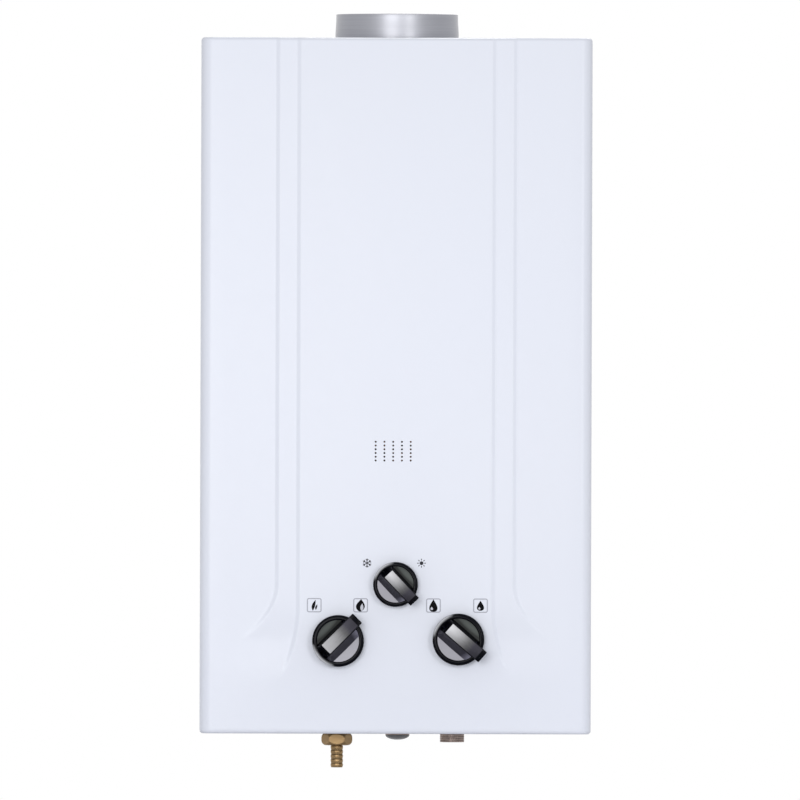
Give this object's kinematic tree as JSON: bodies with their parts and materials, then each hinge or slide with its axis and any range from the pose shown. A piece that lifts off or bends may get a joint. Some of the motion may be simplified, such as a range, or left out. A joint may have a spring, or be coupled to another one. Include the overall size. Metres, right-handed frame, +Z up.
{
  "type": "gas water heater",
  "caption": "Wall-hung instantaneous gas water heater: pressed white front cover, top flue collar, copper heat exchanger over a blade burner, front control knobs and pipe ends below.",
  "frame": {"origin": "on the wall plane behind the back plate, at the middle of the casing's width and height", "axes": "+Z up along the casing, +Y into the wall, +X to the right seen from the front"},
  "size_m": [0.335, 0.1888, 0.647],
  "materials": {
    "casing_paint": "smooth pale white baked enamel with a faint orange peel",
    "galvanised_sheet": "galvanised sheet with a dull spangle",
    "collar_aluminium": "spun aluminium with fine turning lines",
    "copper": "tinned copper sheet and tube, heat toned",
    "burner_steel": "pressed stainless sheet",
    "cast_aluminium": "die-cast aluminium, slightly rough",
    "brass": "machined brass, lightly toned",
    "stainless": "plain bright stainless",
    "knob_black": "gloss black moulding with a silvered pointer bar",
    "grey_plastic": "matt grey moulding",
    "black_plastic": "matt black moulding",
    "solenoid_steel": "zinc-plated yoke and coil",
    "insulator_ceramic": "glazed white ceramic",
    "seal_rubber": "matt black rubber",
    "cell_jacket": "plain dark cell jacket"
  },
  "bodies": {
    "casing": {"front_cover": "casing_paint", "back_plate": "galvanised_sheet", "bottom_plate": "galvanised_sheet", "hinge_ears": "galvanised_sheet", "chamber_brackets": "galvanised_sheet", "burner_brackets": "galvanised_sheet", "valve_brackets": "galvanised_sheet", "draft_hood": "galvanised_sheet", "electrode_bracket": "galvanised_sheet", "flue_collar": "collar_aluminium", "combustion_chamber": "copper", "fin_block": "copper", "return_bends": "copper", "water_coil": "copper", "cold_pipe": "copper", "hot_pipe": "copper", "burner_blades": "burner_steel", "burner_frame": "burner_steel", "gas_manifold": "cast_aluminium", "gas_valve_body": "cast_aluminium", "season_valve_body": "cast_aluminium", "water_valve_body": "cast_aluminium", "water_valve_cover": "cast_aluminium", "gas_injectors": "brass", "gland_nuts": "brass", "gas_inlet_stub": "brass", "gas_union_nut": "brass", "hose_barb": "brass", "cold_inlet_stub": "brass", "hot_outlet_stub": "brass", "cover_screws": "stainless", "housing_screws": "stainless", "electrode_rods": "stainless", "inlet_filter": "stainless", "battery_contacts": "stainless", "outlet_plug": "grey_plastic", "battery_box": "grey_plastic", "igniter_box": "black_plastic", "micro_switch": "black_plastic", "overheat_thermostat": "black_plastic", "gas_solenoid": "solenoid_steel", "electrode_insulators": "insulator_ceramic", "diaphragm": "seal_rubber", "gas_seal_washer": "seal_rubber", "battery_cells": "cell_jacket"},
    "gas_control": {"gas_knob": "knob_black", "gas_spindle": "stainless"},
    "season_control": {"season_knob": "knob_black", "season_spindle": "stainless"},
    "water_control": {"water_knob": "knob_black", "water_spindle": "stainless"},
    "pressure_rod": {"push_rod": "stainless", "diaphragm_plate": "brass"},
    "battery_door": {"battery_lid": "grey_plastic"}
  },
  "joints": [
    {"name": "gas_turn", "type": "hinge", "parent": "casing", "child": "gas_control", "pos_m": [-0.049, -0.1788, -0.2185], "axis": [0, -1, 0], "range_deg": [0, 82]},
    {"name": "season_turn", "type": "hinge", "parent": "casing", "child": "season_control", "pos_m": [0, -0.1788, -0.17], "axis": [0, -1, 0], "range_deg": [-90, 0]},
    {"name": "water_turn", "type": "hinge", "parent": "casing", "child": "water_control", "pos_m": [0.054, -0.1788, -0.217], "axis": [0, -1, 0], "range_deg": [-197, 93]},
    {"name": "rod_push", "type": "slide", "parent": "casing", "child": "pressure_rod", "axis": [-1, 0, 0], "range_m": [0, 0.004], "stiffness_N_per_m": 400},
    {"name": "door_swing", "type": "hinge", "parent": "casing", "child": "battery_door", "pos_m": [0.1089, -0.025, -0.2894], "axis": [1, 0, 0], "range_deg": [0, 95]}
  ]
}
